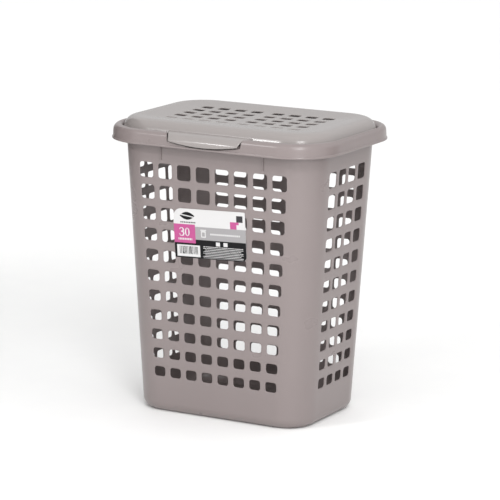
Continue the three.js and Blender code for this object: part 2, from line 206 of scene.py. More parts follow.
class Skin:
    """Points in millimetres and the faces between them, gathered into one closed mesh."""

    def __init__(self):
        self.points = []
        self.faces = []

    def add(self, points):
        """Adds points, and returns their numbers in a list."""
        start = len(self.points)
        self.points.extend(tuple(float(c) for c in p) for p in points)
        return list(range(start, len(self.points)))

    def strip(self, low, high, closed=True, skip=()):
        """Joins two equally long rows of points with a strip of quads."""
        count = len(low)
        for i in range(count if closed else count - 1):
            j = (i + 1) % count
            if i not in skip:
                self.faces.append((low[i], low[j], high[j], high[i]))

    def pierce(self, outside, inside, rings):
        """Fills a cell with a hole: from its outer border through the hole's rings to its inner border."""
        rows = [outside, *(self.add(ring) for ring in rings), inside]
        for low, high in zip(rows, rows[1:]):
            self.strip(low, high)

    def build(self, name, sharp=38):
        """The skin as an object in metres, smooth but for edges sharper than that many degrees."""
        mesh = bpy.data.meshes.new(name)
        mesh.from_pydata([tuple(c * MM for c in p) for p in self.points], [], self.faces)
        mesh.validate()
        piece = bpy.data.objects.new(name, mesh)
        bpy.context.collection.objects.link(piece)
        mesh.shade_smooth()
        mesh.set_sharp_from_angle(angle=math.radians(sharp))
        return piece


def mix(a, b, t):
    """From a to b as t goes from 0 to 1."""
    return a + (b - a) * t


def wall_outline(z):
    """Half width, half depth and corner radius of the tub's outside at a height."""
    return np.array([BASE_WIDTH / 2 + SIDE_DRAFT * z, BASE_DEPTH / 2 + FRONT_DRAFT * z,
                     BASE_CORNER + CORNER_GROWTH * z])


def inset(outline, by):
    """An outline drawn in on all sides, its corner radius with it."""
    return outline - by


WALL_TOP = wall_outline(SKIRT_BOTTOM)
RIM = np.array([WALL_TOP[0] + RIM_REACH[0], WALL_TOP[1] + RIM_REACH[1], RIM_CORNER])
LID = np.array([WALL_TOP[0] + LID_REACH[0], WALL_TOP[1] + LID_REACH[1], LID_CORNER])
SEAT_EDGE = inset(LID, -LID_CLEARANCE)
SKIRT = inset(RIM, SKIRT_LEAN)
CREST_LINE = mix(SEAT_EDGE, SKIRT, 0.5)


def reach_at(outline, along, wall):
    """How far a wall stands from the middle, at a place along it; walls 0 and 2 are the long ones."""
    width, depth, radius = outline
    half, out = (width, depth) if wall % 2 == 0 else (depth, width)
    past = max(abs(along) - (half - radius), 0.0)
    return out - radius + math.sqrt(max(radius ** 2 - past ** 2, 0.0))


def wall_point(outline, along, z, wall):
    """A point on wall 0 front, 1 right, 2 rear or 3 left; along runs left to right seen from outside."""
    out = reach_at(outline, along, wall)
    return ((along, -out, z), (out, along, z), (-along, out, z), (-out, -along, z))[wall]


def arc_start(outline, along, wall):
    """Length round the outline from the middle of a wall to a place along it."""
    half = outline[0] if wall % 2 == 0 else outline[1]
    flat = half - outline[2]
    if along <= flat:
        return along
    return flat + outline[2] * math.asin(min((along - flat) / outline[2], 1.0))


def quarter_point(outline, length):
    """The point that far round the outline from the middle of the front, towards the right."""
    width, depth, radius = outline
    bend = length - (width - radius)
    if bend <= 0:
        return length, depth
    if bend >= radius * math.pi / 2:
        return width, depth - radius - (bend - radius * math.pi / 2)
    angle = bend / radius
    return width - radius + radius * math.sin(angle), depth - radius + radius * math.cos(angle)


def quarter_length(outline):
    """Length round the outline from the middle of the front to the middle of the right side."""
    width, depth, radius = outline
    return width + depth - 2 * radius + radius * math.pi / 2


def loop(outline, z, fronts, sides, rears=None):
    """One turn round the basket, seen from above against the clock from the left end of the front."""
    rears = fronts if rears is None else rears
    bend_from = arc_start(outline, fronts[-1], 0)
    bend_to = quarter_length(outline) - arc_start(outline, sides[-1], 1)
    corner = [quarter_point(outline, mix(bend_from, bend_to, k / CORNER_STEPS))
              for k in range(1, CORNER_STEPS)]
    points = [wall_point(outline, a, z, 0) for a in fronts]
    points += [(x, -y, z) for x, y in corner]
    points += [wall_point(outline, a, z, 1) for a in sides]
    points += [(x, y, z) for x, y in reversed(corner)]
    points += [wall_point(outline, a, z, 2) for a in rears]
    points += [(-x, y, z) for x, y in corner]
    points += [wall_point(outline, a, z, 3) for a in sides]
    points += [(-x, -y, z) for x, y in reversed(corner)]
    return points


def front_pitch(z):
    """Distance between the middles of the front's columns of openings, at a height."""
    return 2 * (wall_outline(z)[0] - FRONT_MARGIN) / (FRONT_COLUMNS - 1)


def side_pitch(z):
    """The same on the sides, where the plain margins grow with the height."""
    climb = (z - BOTTOM_ROW) / (ROW_CENTRES[-1] - BOTTOM_ROW)
    return 2 * (wall_outline(z)[1] - mix(*SIDE_MARGINS, climb)) / (SIDE_COLUMNS - 1)


def spread(columns, pitch):
    """Places along a wall of the mesh lines of that many cells."""
    return [(i / SEGMENTS - columns / 2) * pitch for i in range(columns * SEGMENTS + 1)]


def opening_ring(width, height, radius):
    """A rounded rectangle as offsets, in step with the border of its cell, from its lower left corner."""
    half = SEGMENTS // 2
    points = []
    for k in range(4):
        sx, sy = ((-1, -1), (1, -1), (1, 1), (-1, 1))[k]
        middle = math.radians(225 + 90 * k)
        for step in range(1 - half, half):
            angle = middle + step * math.pi / 2 / (SEGMENTS - 2)
            points.append((sx * (width / 2 - radius) + radius * math.cos(angle),
                           sy * (height / 2 - radius) + radius * math.sin(angle)))
        end = ((0, -height / 2), (width / 2, 0), (0, height / 2), (-width / 2, 0))[k]
        points.append(end)
    return points[half - 1:] + points[:half - 1]


ROW_CENTRES = [BOTTOM_ROW]
for gap in range(ROWS - 1):
    ROW_CENTRES.append(ROW_CENTRES[-1] + mix(*ROW_PITCHES, gap / (ROWS - 2)))
ROW_OPENINGS = [mix(*OPENING_HEIGHTS, (row / (ROWS - 1)) ** 2) for row in range(ROWS)]
ROW_BORDERS = [ROW_CENTRES[0] - ROW_OPENINGS[0] / 2 - CELL_FOOT]
for row in range(ROWS - 1):
    top = ROW_CENTRES[row] + ROW_OPENINGS[row] / 2
    bottom = ROW_CENTRES[row + 1] - ROW_OPENINGS[row + 1] / 2
    ROW_BORDERS.append((top + bottom) / 2)
ROW_BORDERS.append(ROW_CENTRES[-1] + ROW_OPENINGS[-1] / 2 + CELL_HEAD)


def smooth_loops(loops, steps):
    """Loops that pass through the given ones on centripetal curves, with that many steps between two."""
    rows = np.array(loops)
    rows = np.concatenate([2 * rows[:1] - rows[1:2], rows, 2 * rows[-1:] - rows[-2:-1]])
    out = []
    for k in range(1, len(rows) - 2):
        p0, p1, p2, p3 = rows[k - 1:k + 3]
        gaps = [np.maximum(np.linalg.norm(b - a, axis=1, keepdims=True), 1e-6) ** 0.5
                for a, b in ((p0, p1), (p1, p2), (p2, p3))]
        t1 = gaps[0]
        t2 = t1 + gaps[1]
        t3 = t2 + gaps[2]
        for step in range(steps):
            t = t1 + (t2 - t1) * step / steps
            a1 = (t1 - t) / t1 * p0 + t / t1 * p1
            a2 = (t2 - t) / (t2 - t1) * p1 + (t - t1) / (t2 - t1) * p2
            a3 = (t3 - t) / (t3 - t2) * p2 + (t - t2) / (t3 - t2) * p3
            b1 = (t2 - t) / t2 * a1 + t / t2 * a2
            b2 = (t3 - t) / (t3 - t1) * a2 + (t - t1) / (t3 - t1) * a3
            out.append((t2 - t) / (t2 - t1) * b1 + (t - t1) / (t2 - t1) * b2)
    out.append(rows[-2])
    return out


def wall_loop(z, depth):
    """A turn round the tub at a height, that far under its outside."""
    pitch_z = max(z, ROW_BORDERS[0])
    return loop(inset(wall_outline(z), depth), z, spread(FRONT_COLUMNS, front_pitch(pitch_z)),
                spread(SIDE_COLUMNS, side_pitch(pitch_z)))


def pierced_wall(skin, depth):
    """The rows of cells round the tub as lists of loops; the openings themselves come later."""
    rows = []
    low = skin.add(wall_loop(ROW_BORDERS[0], depth))
    for row in range(ROWS):
        levels = [low]
        for k in range(1, SEGMENTS + 1):
            z = mix(ROW_BORDERS[row], ROW_BORDERS[row + 1], k / SEGMENTS)
            levels.append(skin.add(wall_loop(z, depth)))
        rows.append(levels)
        low = levels[-1]
    return rows


# each wall's first mesh line in a loop, its number of cells, its cell pitch and the width of its bars
FRONT_LINES, SIDE_LINES = FRONT_COLUMNS * SEGMENTS + 1, SIDE_COLUMNS * SEGMENTS + 1
WALLS = []
start = 0
for wall in range(4):
    long_wall = wall % 2 == 0
    WALLS.append((start, FRONT_COLUMNS if long_wall else SIDE_COLUMNS,
                  front_pitch if long_wall else side_pitch, FRONT_BAR if long_wall else SIDE_BAR))
    start += (FRONT_LINES if long_wall else SIDE_LINES) + CORNER_STEPS - 1


def cell_border(levels, first):
    """The border of a cell, against the clock seen from outside, from its lower left corner."""
    bottom = [levels[0][first + k] for k in range(SEGMENTS)]
    right = [levels[k][first + SEGMENTS] for k in range(SEGMENTS)]
    top = [levels[SEGMENTS][first + SEGMENTS - k] for k in range(SEGMENTS)]
    left = [levels[SEGMENTS - k][first] for k in range(SEGMENTS)]
    return bottom + right + top + left


def rounded_edges(thickness, rounding):
    """A hole's rings through a wall: how deep each lies, and how much wider than the hole it is."""
    return (0, rounding), (rounding, 0), (thickness - rounding, 0), (thickness, rounding)


def fill_walls(skin, outer_rows, inner_rows):
    """Solid corners and pierced cells between the loops of the outside and of the inside."""
    in_cells = {first + k for first, cells, _, _ in WALLS for k in range(cells * SEGMENTS)}
    for row in range(ROWS):
        z, height = ROW_CENTRES[row], ROW_OPENINGS[row]
        for low, high in zip(outer_rows[row], outer_rows[row][1:]):
            skin.strip(low, high, skip=in_cells)
        for low, high in zip(inner_rows[row], inner_rows[row][1:]):
            skin.strip(high, low, skip=in_cells)
        for wall, (first, cells, pitch, bar) in enumerate(WALLS):
            for cell in range(cells):
                centre = (cell - (cells - 1) / 2) * pitch(z)
                rings = []
                for depth, grow in rounded_edges(WALL, EDGE_ROUND):
                    ring = opening_ring(pitch(z) - bar + 2 * grow, height + 2 * grow, OPENING_CORNER + grow)
                    rings.append([wall_point(inset(wall_outline(z + dz), depth), centre + along, z + dz, wall)
                                  for along, dz in ring])
                at = first + cell * SEGMENTS
                skin.pierce(cell_border(outer_rows[row], at), cell_border(inner_rows[row], at), rings)


def fill_floor(skin, border, holes, face_up):
    """A flat sheet of triangles from a border loop to the rings of the drain holes."""
    loops = [border, *holes]
    ids = [i for ring in loops for i in ring]
    edges, start = [], 0
    for ring in loops:
        edges += [(start + k, start + (k + 1) % len(ring)) for k in range(len(ring))]
        start += len(ring)
    flat = [Vector(skin.points[i][:2]) for i in ids]
    _, _, faces, origin, _, _ = delaunay_2d_cdt(flat, edges, [], 1, 1e-7)
    member = {i: k for k, ring in enumerate(loops) for i in ring}
    for face in faces:
        tri = [ids[origin[v][0]] for v in face]
        if len({member[i] for i in tri}) == 1 and member[tri[0]] > 0:
            continue
        (ax, ay), (bx, by), (cx, cy) = (skin.points[i][:2] for i in tri)
        upward = (bx - ax) * (cy - ay) - (by - ay) * (cx - ax) > 0
        skin.faces.append(tuple(tri if upward == face_up else reversed(tri)))


# the floor's drains: rounded squares on a grid
DRAIN_COLUMNS, DRAIN_ROWS, DRAIN_PITCH, DRAIN_SIZE, DRAIN_CORNER = 6, 4, 34.0, 18.0, 2.5
HOLE_ROUND = 0.4                                # rounding of the edges of drains and vents


def drain_rings(z, grow):
    """The rings of all the drains at a height, that much wider than the drains."""
    rings = []
    for i in range(DRAIN_COLUMNS):
        for j in range(DRAIN_ROWS):
            x = (i - (DRAIN_COLUMNS - 1) / 2) * DRAIN_PITCH
            y = (j - (DRAIN_ROWS - 1) / 2) * DRAIN_PITCH
            size = DRAIN_SIZE + 2 * grow
            rings.append([(x + dx, y + dy, z) for dx, dy in opening_ring(size, size, DRAIN_CORNER + grow)])
    return rings


# rim columns: mesh lines fall on the borders of the tab's dip and of the hinge notches
TAB_ROOT_HALF, TAB_LIP_HALF, TAB_GAP, TAB_DIP = 71.0, 58.0, 1.3, 2.2
TAB_REACH, TAB_DRAW_IN, TAB_DROP, TAB_BELLY = 4.5, 1.5, 8.3, 5.3
LIP_GAP, REBATE = 2.4, 6.5                      # under the lip the skirt is cut back in an arc like its own
LEAST_SKIRT = 2.9                               # what the rebate leaves of the skirt at its lowest
SLANT = 0.7                                     # share of the wall's thickness under the rebate, as it slants
HINGE, NOTCH_HALF, PIN_RADIUS = 95.0, 14.0, 2.5
PIN_Y, PIN_Z = RIM[1] - 6.5, CREST - 5.5
NOTCH_FLOOR = PIN_Z - 6.3
DIP_FLOOR = SEAT - TAB_DIP
BORDER = 0.8                                    # plan width of the step down into a dip or notch
RIM_SPAN = 133.0                                # the outermost mesh lines of the front and rear
DIP_LINES, BESIDE_DIP_LINES, NOTCH_LINES = 25, 12, 5
REAR_MIDDLE, REAR_MIDDLE_LINES, REAR_OUTER = 73, 31, 121.0
CURVE_STEPS = 3                                 # mesh steps between two points of a section


def tab_half(front):
    """Half width of the tab at a distance in front of the middle."""
    return mix(TAB_ROOT_HALF, TAB_LIP_HALF, (front - LID[1]) / (RIM[1] + TAB_REACH - LID[1]))


def rim_fronts(thick, outline=SEAT_EDGE):
    """Places of the rim's mesh lines along the front, for a surface that far under the outside."""
    edge = tab_half(outline[1]) + TAB_GAP + thick
    side = np.linspace(edge + BORDER, RIM_SPAN, BESIDE_DIP_LINES)
    return np.concatenate([-side[::-1], np.linspace(-edge, edge, DIP_LINES), side])


def rim_rears(thick):
    """The same along the rear, with the borders of the two notches."""
    low, high = HINGE - NOTCH_HALF - thick, HINGE + NOTCH_HALF + thick
    notch = np.concatenate([[low - BORDER], np.linspace(low, high, NOTCH_LINES),
                            [high + BORDER, REAR_OUTER + thick, RIM_SPAN]])
    return np.concatenate([-notch[::-1], np.linspace(-REAR_MIDDLE, REAR_MIDDLE, REAR_MIDDLE_LINES), notch])


def rim_loops(section, thick):
    """Loops of the rim from (outline, height) pairs, on smooth curves, lowered in the dip and notches."""
    loops = [loop(outline, z, rim_fronts(thick, outline), SIDE_SPREAD, rim_rears(thick))
             for outline, z in section]
    loops = smooth_loops(loops, CURVE_STEPS)
    rears = rim_rears(thick)
    rear_start = WALLS[2][0]
    for points in loops:
        for k in range(BESIDE_DIP_LINES, BESIDE_DIP_LINES + DIP_LINES):
            floor = DIP_FLOOR - thick
            if -points[k][1] > RIM[1] - REBATE - thick:
                along = points[k][0] / TAB_LIP_HALF
                under_lip = SEAT - TAB_DROP + TAB_BELLY * along ** 2 - LIP_GAP
                floor = max(under_lip, SKIRT_BOTTOM + LEAST_SKIRT) - SLANT * thick
            points[k][2] = min(points[k][2], floor)
        for k, along in enumerate(rears):
            if abs(abs(along) - HINGE) <= NOTCH_HALF + thick + 0.01:
                points[rear_start + k][2] = min(points[rear_start + k][2], NOTCH_FLOOR - thick)
    return loops


def add_strips(skin, rows):
    """Joins rows of point numbers one after another."""
    for low, high in zip(rows, rows[1:]):
        skin.strip(low, high)


def fillet_loops(outline, radius, z, start, end, steps):
    """Loops of a rounded edge, from one angle to another in degrees."""
    loops = []
    for k in range(steps + 1):
        angle = math.radians(mix(start, end, k / steps))
        shape = inset(outline, radius - radius * math.cos(angle))
        loops.append(loop(shape, z + radius * math.sin(angle), LOW_FRONTS, LOW_SIDES))
    return loops


LOW_FRONTS = spread(FRONT_COLUMNS, front_pitch(ROW_BORDERS[0]))
LOW_SIDES = spread(SIDE_COLUMNS, side_pitch(ROW_BORDERS[0]))
SIDE_SPREAD = spread(SIDE_COLUMNS, side_pitch(ROW_BORDERS[-1]))


# heights of the mesh lines between the foot and the openings, and between the openings and the ledge
FOOT_LINES, NECK_LINES, NECK_LINES_INSIDE = (20.0, 35.0), (410.0, 428.0), (425.0, 410.0)


def make_basket():
    """The whole moulding but its ribs and pins, as one skin: up the outside, over the rim, down the inside."""
    skin = Skin()
    # outside, from the underside up to the ledge
    foot = fillet_loops(wall_outline(BASE_FILLET), BASE_FILLET, BASE_FILLET, -90, 0, steps=8)
    rows_out = [skin.add(points) for points in foot]
    for z in FOOT_LINES:
        rows_out.append(skin.add(wall_loop(z, 0)))
    outer = pierced_wall(skin, 0)
    rows_out.append(outer[0][0])
    add_strips(skin, rows_out)
    # under the ledge, the channel inside the rim, the bead along the skirt, the crest, and the ledge; a
    # section's points are pairs of an outline and a height
    ledge_bottom = SEAT - WALL
    seat_back, inner_skirt = inset(SEAT_EDGE, -WALL), inset(SKIRT, WALL)
    top_rows = [outer[-1][-1], *(skin.add(wall_loop(z, 0)) for z in NECK_LINES)]
    channel = rim_loops([
        (wall_outline(ledge_bottom), ledge_bottom), (inset(seat_back, -0.2), ledge_bottom),
        (inset(seat_back, -0.4), CREST - 6), (mix(seat_back, inner_skirt, 0.35), CREST - WALL),
        (mix(seat_back, inner_skirt, 0.7), CREST - WALL - 0.6), (inner_skirt, CREST - WALL - 5),
        (inset(RIM, WALL + 0.4), SKIRT_BOTTOM + 1.5)], WALL)
    bead = rim_loops([
        (inset(RIM, WALL + 0.4), SKIRT_BOTTOM + 1.5), (inset(RIM, 1.4), SKIRT_BOTTOM),
        (inset(RIM, 0.3), SKIRT_BOTTOM + 0.4), (RIM, SKIRT_BOTTOM + 1.6),
        (inset(RIM, 0.3), SKIRT_BOTTOM + 2.8), (inset(RIM, 1.3), SKIRT_BOTTOM + 3.7)], 0)
    crest = rim_loops([
        (inset(RIM, 1.3), SKIRT_BOTTOM + 3.7), (SKIRT, CREST - 7.5), (inset(SKIRT, 1), CREST - 4.2),
        (inset(SKIRT, 3.2), CREST - 1.6), (mix(CREST_LINE, inset(SKIRT, 3.2), 0.5), CREST - 0.4),
        (CREST_LINE, CREST), (mix(SEAT_EDGE, CREST_LINE, 0.45), CREST - 1.2),
        (inset(SEAT_EDGE, -1), CREST - 3.6), (SEAT_EDGE, SEAT + 1.5), (SEAT_EDGE, SEAT)], 0)
    ledge = [loop(inset(SEAT_EDGE, 0.4), SEAT, rim_fronts(0), SIDE_SPREAD, rim_rears(0)),
             loop(inset(wall_outline(SEAT), WALL - 0.5), SEAT, rim_fronts(0), SIDE_SPREAD, rim_rears(0)),
             loop(inset(wall_outline(SEAT), WALL), SEAT - 0.5, rim_fronts(0), SIDE_SPREAD, rim_rears(0))]
    for points in [*channel, *bead[1:], *crest[1:], *ledge]:
        top_rows.append(skin.add(points))
    # inside, from the top row of openings down to the floor
    inner = pierced_wall(skin, WALL)
    for z in NECK_LINES_INSIDE:
        top_rows.append(skin.add(wall_loop(z, WALL)))
    top_rows.append(inner[-1][-1])
    add_strips(skin, top_rows)
    fill_walls(skin, outer, inner)
    inside_foot = inset(wall_outline(FLOOR_THICKNESS + FLOOR_FILLET), WALL)
    rows_in = [inner[0][0]]
    for z in reversed(FOOT_LINES):
        rows_in.append(skin.add(wall_loop(z, WALL)))
    for points in fillet_loops(inside_foot, FLOOR_FILLET, FLOOR_THICKNESS + FLOOR_FILLET, 0, -90, steps=6):
        rows_in.append(skin.add(points))
    add_strips(skin, rows_in)
    # the floor, with the walls of its drains
    layers = [[skin.add(ring) for ring in drain_rings(z, grow)]
              for z, grow in rounded_edges(FLOOR_THICKNESS, HOLE_ROUND)]
    fill_floor(skin, rows_out[0], layers[0], face_up=False)
    fill_floor(skin, rows_in[-1], layers[-1], face_up=True)
    for rings in zip(*layers):
        for low, high in zip(rings, rings[1:]):
            skin.strip(high, low)
    return skin.build("basket")


def face_outward(piece, bevel=0.0):
    """Turns all faces outward, and rounds edges sharper than 40 degrees by the bevel in millimetres."""
    shape = bmesh.new()
    shape.from_mesh(piece.data)
    bmesh.ops.recalc_face_normals(shape, faces=shape.faces)
    if bevel:
        edges = [e for e in shape.edges if e.calc_face_angle(0) > math.radians(40)]
        bmesh.ops.bevel(shape, geom=edges, offset=bevel * MM, segments=2, profile=0.5, affect="EDGES")
    shape.to_mesh(piece.data)
    shape.free()
    return piece


def prism(name, outline, x, thickness, bevel=0.0):
    """A plate of a (y, z) outline centred on x, with rounded edges."""
    skin = Skin()
    near = skin.add([(x - thickness / 2, y, z) for y, z in outline])
    far = skin.add([(x + thickness / 2, y, z) for y, z in outline])
    skin.strip(near, far)
    skin.faces += [tuple(reversed(near)), tuple(far)]
    return face_outward(skin.build(name), bevel)


def fuse(piece, others, sharp=50):
    """Joins other solids into a piece, and shades the whole smooth with normals led by its large faces."""
    for other in others:
        joint = piece.modifiers.new("fuse", "BOOLEAN")
        joint.operation = "UNION"
        joint.solver = "MANIFOLD"
        joint.object = other
    bpy.context.view_layer.update()
    joined = bpy.data.meshes.new_from_object(piece.evaluated_get(bpy.context.evaluated_depsgraph_get()))
    piece.modifiers.clear()
    piece.data = joined
    for other in others:
        bpy.data.objects.remove(other)
    joined.shade_smooth()
    joined.set_sharp_from_angle(angle=math.radians(sharp))
    normals = piece.modifiers.new("normals", "WEIGHTED_NORMAL")
    normals.keep_sharp = True
    return piece


RIB_PLACE, RIB_LENGTH, RIB_PROUD, RIB_WIDTH, RIB_ROUND = 88, 40, 2.0, 1.8, 0.5


def rib(place, quarter_turns):
    """A low stiffening rib from the ledge down the outside of a wall, made for the rear and turned."""
    proud, low, top, buried = RIB_PROUD, SEAT - RIB_LENGTH, SEAT - WALL / 2, 1.0
    foot, middle, head = (wall_outline(z)[1] for z in (low, low + proud, top))
    outline = [(foot - buried, low), (middle + proud, low + proud), (head + proud, top), (head - buried, top)]
    piece = prism("rib", outline, place, RIB_WIDTH, RIB_ROUND)
    piece.data.transform(Matrix.Rotation(quarter_turns * math.pi / 2, 4, "Z"))
    return piece


PIN_FACETS, PIN_BURY = 32, 1.5                  # the pin runs that far into each side of its notch


def round_bar(x, length):
    """A hinge pin across a notch."""
    angles = [2 * math.pi * k / PIN_FACETS for k in range(PIN_FACETS)]
    outline = [(PIN_Y + PIN_RADIUS * math.cos(a), PIN_Z + PIN_RADIUS * math.sin(a)) for a in angles]
    return prism("pin", outline, x, length)


basket = make_basket()
extras = []
for side in (-1, 1):
    extras += [rib(side * RIB_PLACE, 0), rib(side * RIB_PLACE, 2)]
    extras.append(round_bar(side * HINGE, 2 * (NOTCH_HALF + PIN_BURY)))
fuse(basket, extras)


def moulded_plastic(name, colour, dark, gloss):
    """Taupe polypropylene from a lightly grained mould: slightly clouded in tint and gloss, scuffed."""
    material, tree, output = new_material(name)
    place = add_node(tree, "ShaderNodeTexCoord").outputs["Object"]
    cloud = add_node(tree, "ShaderNodeTexNoise", {"Vector": place, "Scale": 1 / 0.07, "Detail": 3.0})
    tint = add_node(tree, "ShaderNodeMix", {
        "Factor": cloud.outputs["Fac"], "A": linear(dark), "B": linear(colour)}, data_type="RGBA")
    # scuffs are streaks about 10 mm long and 1.6 mm high, only where their pattern is high
    stretch = add_node(tree, "ShaderNodeMapping", {
        "Vector": place, "Scale": (1 / 0.01, 1 / 0.01, 1 / 0.0016)})
    streak = add_node(tree, "ShaderNodeTexNoise", {
        "Vector": stretch.outputs["Vector"], "Scale": 1.0, "Detail": 5.0})
    scuff = add_node(tree, "ShaderNodeMapRange", {
        "Value": streak.outputs["Fac"], "From Min": 0.62, "From Max": 0.8, "To Min": 0.0, "To Max": 0.03})
    sheen = add_node(tree, "ShaderNodeMapRange", {
        "Value": cloud.outputs["Fac"], "To Min": gloss - 0.03, "To Max": gloss + 0.04})
    rough = add_node(tree, "ShaderNodeMath", {0: sheen.outputs["Result"], 1: scuff.outputs["Result"]},
                     operation="ADD")
    # the mould's grain is about 0.1 mm, drawn at 0.5 mm so that it shows
    grain = add_node(tree, "ShaderNodeTexNoise", {"Vector": place, "Scale": 1 / 0.0005, "Detail": 2.0})
    bump = add_node(tree, "ShaderNodeBump", {
        "Height": grain.outputs["Fac"], "Strength": 0.12, "Distance": 0.0001})
    plastic = add_node(tree, "ShaderNodeBsdfPrincipled", {
        "Base Color": tint.outputs["Result"], "Roughness": rough.outputs["Value"],
        "Normal": bump.outputs["Normal"]})
    tree.links.new(plastic.outputs["BSDF"], output.inputs["Surface"])
    return material


basket.data.materials.clear()
basket.data.materials.append(moulded_plastic("basket_plastic", "#857b7a", "#807675", 0.28))
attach(basket, "tub")
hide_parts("basket")


# ---- lid ----
# A second moulding in the same plastic: a shallow dome with five rows of vents, a thumb tab that lies in
# the rim's dip, and two open hooks at the rear that snap over the basket's pins.
LID_THICK = 1.6
LID_BOTTOM, CROWN, DISH = SEAT + 0.3, SEAT + 20.0, 4.2
VENT_ROWS, VENT_COLUMNS = 5, 8
VENT_PITCH = (29.1, 28.0)
VENT_BRIDGE = 8.3                               # extra plastic between the two middle columns
VENT_WIDTH, VENT_DEPTHS, VENT_CORNER = 19.0, (8.0, 15.0, 15.0, 15.0, 15.0), 2.6
FIELD = (VENT_COLUMNS / 2 * VENT_PITCH[0] + VENT_BRIDGE / 2, VENT_ROWS / 2 * VENT_PITCH[1])
# the dome's section from its edge inwards: plan inset, and height
DOME_EDGE = [(0.5, LID_BOTTOM), (0.0, LID_BOTTOM + 0.5), (0.0, LID_BOTTOM + 3.2)]
DOME_TOP = [(0.0, LID_BOTTOM + 3.5), (0.7, LID_BOTTOM + 5.4), (3.0, CROWN - 9.0), (7.0, CROWN - 4.2),
            (12.0, CROWN - 1.2), (18.0, CROWN), (32.0, CROWN - 0.15 * DISH), (52.0, CROWN - 0.6 * DISH),
            (78.0, CROWN - 0.95 * DISH), (130.0, CROWN - DISH)]
SHOULDER_END = 46.0                             # the dome's own loops end there, and the field's grid begins


def smooth_section(points, steps):
    """A section's points on smooth curves."""
    rows = smooth_loops([[p] for p in points], steps)
    return [tuple(row[0]) for row in rows]


DOME = smooth_section(DOME_TOP, CURVE_STEPS)


def dome_height(x, y):
    """Height of the dome's outside over a point, from its distance to the lid's outline."""
    qx, qy = abs(x) - (LID[0] - LID[2]), abs(y) - (LID[1] - LID[2])
    out = math.hypot(max(qx, 0), max(qy, 0)) + min(max(qx, qy), 0) - LID[2]
    return float(np.interp(-out, [p[0] for p in DOME], [p[1] for p in DOME]))


def field_lines():
    """The mesh lines across and along the field of vents; the bridge lies between two lines."""
    half = [i / SEGMENTS * VENT_PITCH[0] + VENT_BRIDGE / 2 for i in range(VENT_COLUMNS // 2 * SEGMENTS + 1)]
    xs = [-x for x in reversed(half)] + half
    ys = [(i / SEGMENTS - VENT_ROWS / 2) * VENT_PITCH[1] for i in range(VENT_ROWS * SEGMENTS + 1)]
    return xs, ys


FIELD_X, FIELD_Y = field_lines()


def field_border():
    """The border of the field, against the clock from its front left corner."""
    points = [(x, FIELD_Y[0]) for x in FIELD_X[:-1]]
    points += [(FIELD_X[-1], y) for y in FIELD_Y[:-1]]
    points += [(x, FIELD_Y[-1]) for x in reversed(FIELD_X[1:])]
    points += [(FIELD_X[0], y) for y in reversed(FIELD_Y[1:])]
    return points


def on_outline(outline, x, y):
    """The point of an outline that is as far round its quarter as a point of the field's border."""
    along = abs(x) if abs(y) >= FIELD[1] - 1e-6 else FIELD[0] + FIELD[1] - abs(y)
    px, py = quarter_point(outline, along / (FIELD[0] + FIELD[1]) * quarter_length(outline))
    return math.copysign(px, x), math.copysign(py, y)


def lid_loop(by, z):
    """A turn round the lid, inset by that much; its corners never get tighter than 4 mm."""
    shape = np.maximum(inset(LID, by), 4.0)
    return [(*on_outline(shape, x, y), z) for x, y in field_border()]


def vent_field(skin, under):
    """The field's grid of points, that far under the outside, as rows of point numbers."""
    return [skin.add([(x, y, dome_height(x, y) - under) for x in FIELD_X]) for y in FIELD_Y]


def fill_field(skin, upper, lower):
    """The bridge as strips, and each cell pierced by its vent."""
    half = VENT_COLUMNS // 2 * SEGMENTS
    for row in range(len(FIELD_Y) - 1):
        for grid, up in ((upper, True), (lower, False)):
            quad = (grid[row][half], grid[row][half + 1], grid[row + 1][half + 1], grid[row + 1][half])
            skin.faces.append(quad if up else tuple(reversed(quad)))
    for row in range(VENT_ROWS):
        for column in range(VENT_COLUMNS):
            first = column * SEGMENTS + (1 if column >= VENT_COLUMNS // 2 else 0)
            x = (FIELD_X[first] + FIELD_X[first + SEGMENTS]) / 2
            y = (row - (VENT_ROWS - 1) / 2) * VENT_PITCH[1]
            borders = []
            for grid in (upper, lower):
                levels = [grid[row * SEGMENTS + k] for k in range(SEGMENTS + 1)]
                borders.append(cell_border(levels, first))
            rings = []
            for under, grow in rounded_edges(LID_THICK, HOLE_ROUND):
                ring = opening_ring(VENT_WIDTH + 2 * grow, VENT_DEPTHS[row] + 2 * grow, VENT_CORNER + grow)
                rings.append([(x + dx, y + dy, dome_height(x + dx, y + dy) - under) for dx, dy in ring])
            skin.pierce(borders[0], borders[1], rings)


def grid_border(grid):
    """The same border as point numbers."""
    points = grid[0][:-1] + [line[-1] for line in grid[:-1]]
    return points + grid[-1][:0:-1] + [line[0] for line in grid[:0:-1]]


def make_dome():
    """The dome as one skin: the field of vents, and loops from it over the shoulder and back underneath."""
    skin = Skin()
    upper, lower = vent_field(skin, 0), vent_field(skin, LID_THICK)
    fill_field(skin, upper, lower)
    top = [p for p in DOME if p[0] < SHOULDER_END]
    outside = [skin.add(lid_loop(by, z)) for by, z in [*DOME_EDGE, *top[1:]]]
    # the inside follows the section a wall's thickness in, square to it; in the tight curve by the edge,
    # points that would fall on one another are left out
    curve_end = 14
    section = DOME_EDGE[1:] + top[1:]
    inside_points = [(LID_THICK - 0.5, LID_BOTTOM), (LID_THICK, LID_BOTTOM + 0.5)]
    for before, here, after in zip(section, section[1:], section[2:]):
        run, rise = after[0] - before[0], after[1] - before[1]
        length = math.hypot(run, rise)
        point = (here[0] + LID_THICK * rise / length, here[1] - LID_THICK * run / length)
        if point[1] > inside_points[-1][1] + 0.2 or point[0] > curve_end:
            inside_points.append(point)
    inside = [skin.add(lid_loop(by, z)) for by, z in inside_points]
    rows = [grid_border(lower), *reversed(inside), *outside, grid_border(upper)]
    add_strips(skin, rows)
    return skin.build("lid")


